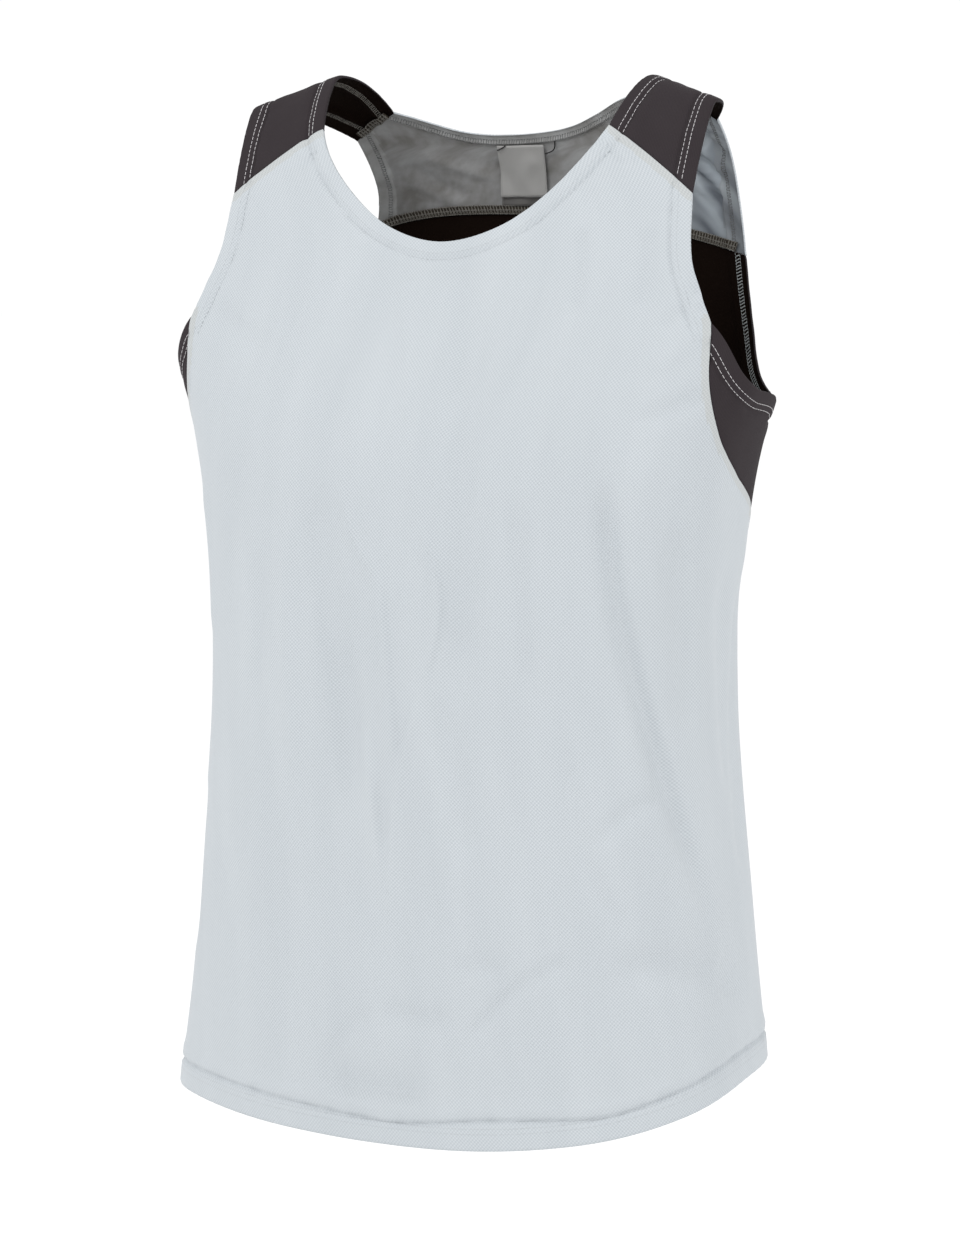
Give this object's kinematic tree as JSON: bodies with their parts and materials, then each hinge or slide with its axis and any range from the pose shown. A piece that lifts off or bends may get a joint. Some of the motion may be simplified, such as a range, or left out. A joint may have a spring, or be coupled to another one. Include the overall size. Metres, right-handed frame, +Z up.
{
  "type": "running singlet",
  "caption": "Sleeveless running singlet with a scooped neck, racer-cut back, pale mesh front and upper back, and charcoal shoulders and lower back, filled out as if worn",
  "frame": {"origin": "midway between the undersides of the two shoulder panels, where the wearer's shoulders hold the singlet up", "axes": "+X to the wearer's left, +Y to the wearer's back, +Z up; the front faces -Y"},
  "size_m": [0.4284, 0.2701, 0.6916],
  "materials": {
    "pale_mesh": "fine pique mesh, matt, very pale blue-grey",
    "charcoal_knit": "close knit, matt, charcoal",
    "white_satin": "smooth satin weave, slight sheen"
  },
  "bodies": {
    "root": {"front_panel": "pale_mesh", "upper_back_panel": "pale_mesh", "lower_back_panel": "charcoal_knit", "shoulder_panel_left": "charcoal_knit", "shoulder_panel_right": "charcoal_knit", "back_neck_label": "white_satin", "care_label": "white_satin"}
  },
  "joints": []
}
